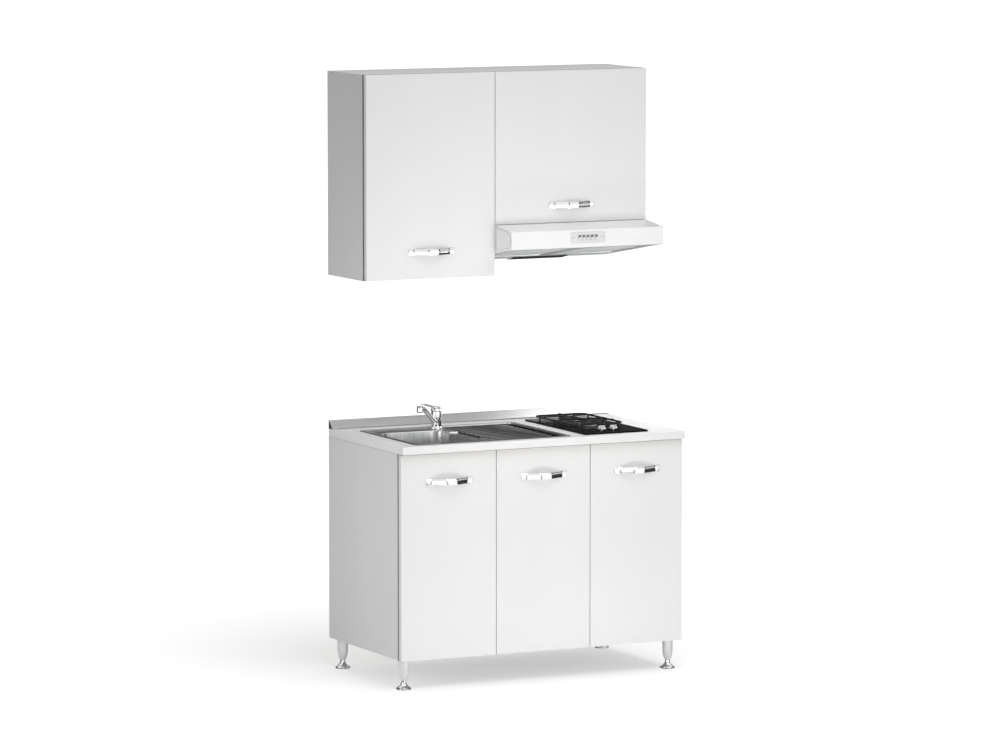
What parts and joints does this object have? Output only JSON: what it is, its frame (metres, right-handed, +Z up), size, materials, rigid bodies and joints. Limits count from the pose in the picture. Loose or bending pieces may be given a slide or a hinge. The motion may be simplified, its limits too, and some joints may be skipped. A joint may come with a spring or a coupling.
{
  "type": "kitchenette unit with sink and hob",
  "caption": "Kitchenette: a base cabinet on turned legs with a sink, mixer tap and gas hob, wall cabinets above and an extractor hood under the shorter one.",
  "frame": {"origin": "on the floor, midway across the width and midway front to rear", "axes": "+Z up, +Y towards the wall, +X to the right as seen from the front"},
  "size_m": [1.1, 0.628, 2.12],
  "materials": {
    "board": "satin white melamine-faced board",
    "door": "smooth satin white laminate",
    "worktop": "light grey-white post-formed laminate",
    "leg_satin": "satin grey",
    "foot_chrome": "polished chrome",
    "strip": "satin aluminium",
    "steel": "stainless steel, brushed",
    "chrome": "polished chrome",
    "hob_glass": "black tempered glass, polished",
    "hob_tray": "galvanised steel box",
    "burner": "cast aluminium",
    "enamel_black": "matt black enamel",
    "iron_black": "matt black enamelled grid",
    "hood_white": "white enamelled steel",
    "filter": "expanded aluminium mesh in a frame",
    "plastic_white": "white plastic",
    "plastic_grey": "grey plastic",
    "lens": "frosted lamp cover"
  },
  "bodies": {
    "cabinet": {"base_side_left": "board", "base_side_right": "board", "base_partition": "board", "base_bottom": "board", "base_rail_front": "board", "base_shelf": "board", "base_back": "board", "wall_left_carcass": "board", "wall_left_back": "board", "wall_left_shelf": "board", "wall_right_carcass": "board", "wall_right_back": "board", "worktop": "worktop", "backsplash": "strip", "leg_front_left": "leg_satin", "foot_front_left": "foot_chrome", "leg_front_right": "leg_satin", "foot_front_right": "foot_chrome", "leg_rear_left": "leg_satin", "foot_rear_left": "foot_chrome", "leg_rear_right": "leg_satin", "foot_rear_right": "foot_chrome", "sink": "steel", "sink_trap": "plastic_white", "tap_body": "chrome", "hob_glass": "hob_glass", "hob_tray": "hob_tray", "hob_burner_front": "burner", "hob_cap_front": "enamel_black", "hob_burner_rear": "burner", "hob_cap_rear": "enamel_black", "hood_shell": "hood_white", "hood_control_plate": "plastic_white", "hood_lamp_cover": "lens"},
    "base_door_left": {"base_door_left": "door", "base_handle_left": "chrome"},
    "base_door_middle": {"base_door_middle": "door", "base_handle_middle": "chrome"},
    "base_door_right": {"base_door_right": "door", "base_handle_right": "chrome"},
    "wall_door_left": {"wall_door_left": "door", "wall_handle_left": "chrome"},
    "wall_door_right": {"wall_door_right": "door", "wall_handle_right": "chrome"},
    "tap_spout": {"tap_spout": "chrome"},
    "tap_dome": {"tap_dome": "chrome"},
    "tap_lever": {"tap_lever": "chrome"},
    "sink_strainer": {"sink_strainer": "chrome"},
    "pan_support": {"pan_support": "iron_black"},
    "hob_stem_left": {"hob_stem_left": "steel"},
    "hob_knob_left": {"hob_knob_left": "chrome"},
    "hood_filter_left": {"hood_filter_left": "filter"},
    "hob_stem_right": {"hob_stem_right": "steel"},
    "hob_knob_right": {"hob_knob_right": "chrome"},
    "hood_filter_right": {"hood_filter_right": "filter"},
    "hood_button_1": {"hood_button_1": "plastic_grey"},
    "hood_button_2": {"hood_button_2": "plastic_grey"},
    "hood_button_3": {"hood_button_3": "plastic_grey"},
    "hood_button_4": {"hood_button_4": "plastic_grey"},
    "hood_button_5": {"hood_button_5": "plastic_grey"}
  },
  "joints": [
    {"name": "base_door_left_hinge", "type": "hinge", "parent": "cabinet", "child": "base_door_left", "pos_m": [-0.5485, -0.286, 0.4635], "axis": [0, 0, -1], "range_deg": [0, 107]},
    {"name": "base_door_middle_hinge", "type": "hinge", "parent": "cabinet", "child": "base_door_middle", "pos_m": [0.18183, -0.286, 0.4635], "axis": [0, 0, 1], "range_deg": [0, 86]},
    {"name": "base_door_right_hinge", "type": "hinge", "parent": "cabinet", "child": "base_door_right", "pos_m": [0.5485, -0.286, 0.4635], "axis": [0, 0, 1], "range_deg": [0, 107]},
    {"name": "wall_door_left_hinge", "type": "hinge", "parent": "cabinet", "child": "wall_door_left", "pos_m": [-0.5485, -0.006, 1.76], "axis": [0, 0, -1], "range_deg": [0, 107]},
    {"name": "wall_door_right_hinge", "type": "hinge", "parent": "cabinet", "child": "wall_door_right", "pos_m": [0.5485, -0.006, 1.85], "axis": [0, 0, 1], "range_deg": [0, 107]},
    {"name": "tap_spout_swivel", "type": "hinge", "parent": "cabinet", "child": "tap_spout", "pos_m": [-0.212, 0.136, 0.8788], "axis": [0, 0, 1], "range_deg": [-40, 100]},
    {"name": "tap_mixer_turn", "type": "hinge", "parent": "cabinet", "child": "tap_dome", "pos_m": [-0.212, 0.136, 0.9048], "axis": [0, 0, 1], "range_deg": [-45, 45]},
    {"name": "tap_lever_lift", "type": "hinge", "parent": "tap_dome", "child": "tap_lever", "pos_m": [-0.212, 0.136, 0.9118], "axis": [-0.6428, 0.766, 0], "range_deg": [0, 25]},
    {"name": "sink_strainer_lift", "type": "slide", "parent": "cabinet", "child": "sink_strainer", "axis": [0, 0, 1], "range_m": [0, 0.03]},
    {"name": "pan_support_lift", "type": "slide", "parent": "cabinet", "child": "pan_support", "axis": [0, 0, 1], "range_m": [0, 0.04]},
    {"name": "hob_knob_left_push", "type": "slide", "parent": "cabinet", "child": "hob_stem_left", "axis": [0, 0, -1], "range_m": [0, 0.004], "stiffness_N_per_m": 900, "springref_m": -0.002},
    {"name": "hob_knob_left_turn", "type": "hinge", "parent": "hob_stem_left", "child": "hob_knob_left", "pos_m": [0.26683, -0.21, 0.868], "axis": [0, 0, 1], "range_deg": [0, 210]},
    {"name": "hob_knob_right_push", "type": "slide", "parent": "cabinet", "child": "hob_stem_right", "axis": [0, 0, -1], "range_m": [0, 0.004], "stiffness_N_per_m": 900, "springref_m": -0.002},
    {"name": "hob_knob_right_turn", "type": "hinge", "parent": "hob_stem_right", "child": "hob_knob_right", "pos_m": [0.31283, -0.21, 0.868], "axis": [0, 0, 1], "range_deg": [0, 210]},
    {"name": "hood_filter_left_drop", "type": "hinge", "parent": "cabinet", "child": "hood_filter_left", "pos_m": [0.1, 0.2088, 1.44853], "axis": [1, 0, 0], "range_deg": [0, 60]},
    {"name": "hood_filter_right_drop", "type": "hinge", "parent": "cabinet", "child": "hood_filter_right", "pos_m": [0.4, 0.2088, 1.44853], "axis": [1, 0, 0], "range_deg": [0, 60]},
    {"name": "hood_button_1_press", "type": "slide", "parent": "cabinet", "child": "hood_button_1", "axis": [0, 1, 0], "range_m": [0, 0.003], "stiffness_N_per_m": 250, "springref_m": -0.001},
    {"name": "hood_button_2_press", "type": "slide", "parent": "cabinet", "child": "hood_button_2", "axis": [0, 1, 0], "range_m": [0, 0.003], "stiffness_N_per_m": 250, "springref_m": -0.001},
    {"name": "hood_button_3_press", "type": "slide", "parent": "cabinet", "child": "hood_button_3", "axis": [0, 1, 0], "range_m": [0, 0.003], "stiffness_N_per_m": 250, "springref_m": -0.001},
    {"name": "hood_button_4_press", "type": "slide", "parent": "cabinet", "child": "hood_button_4", "axis": [0, 1, 0], "range_m": [0, 0.003], "stiffness_N_per_m": 250, "springref_m": -0.001},
    {"name": "hood_button_5_press", "type": "slide", "parent": "cabinet", "child": "hood_button_5", "axis": [0, 1, 0], "range_m": [0, 0.003], "stiffness_N_per_m": 250, "springref_m": -0.001}
  ]
}
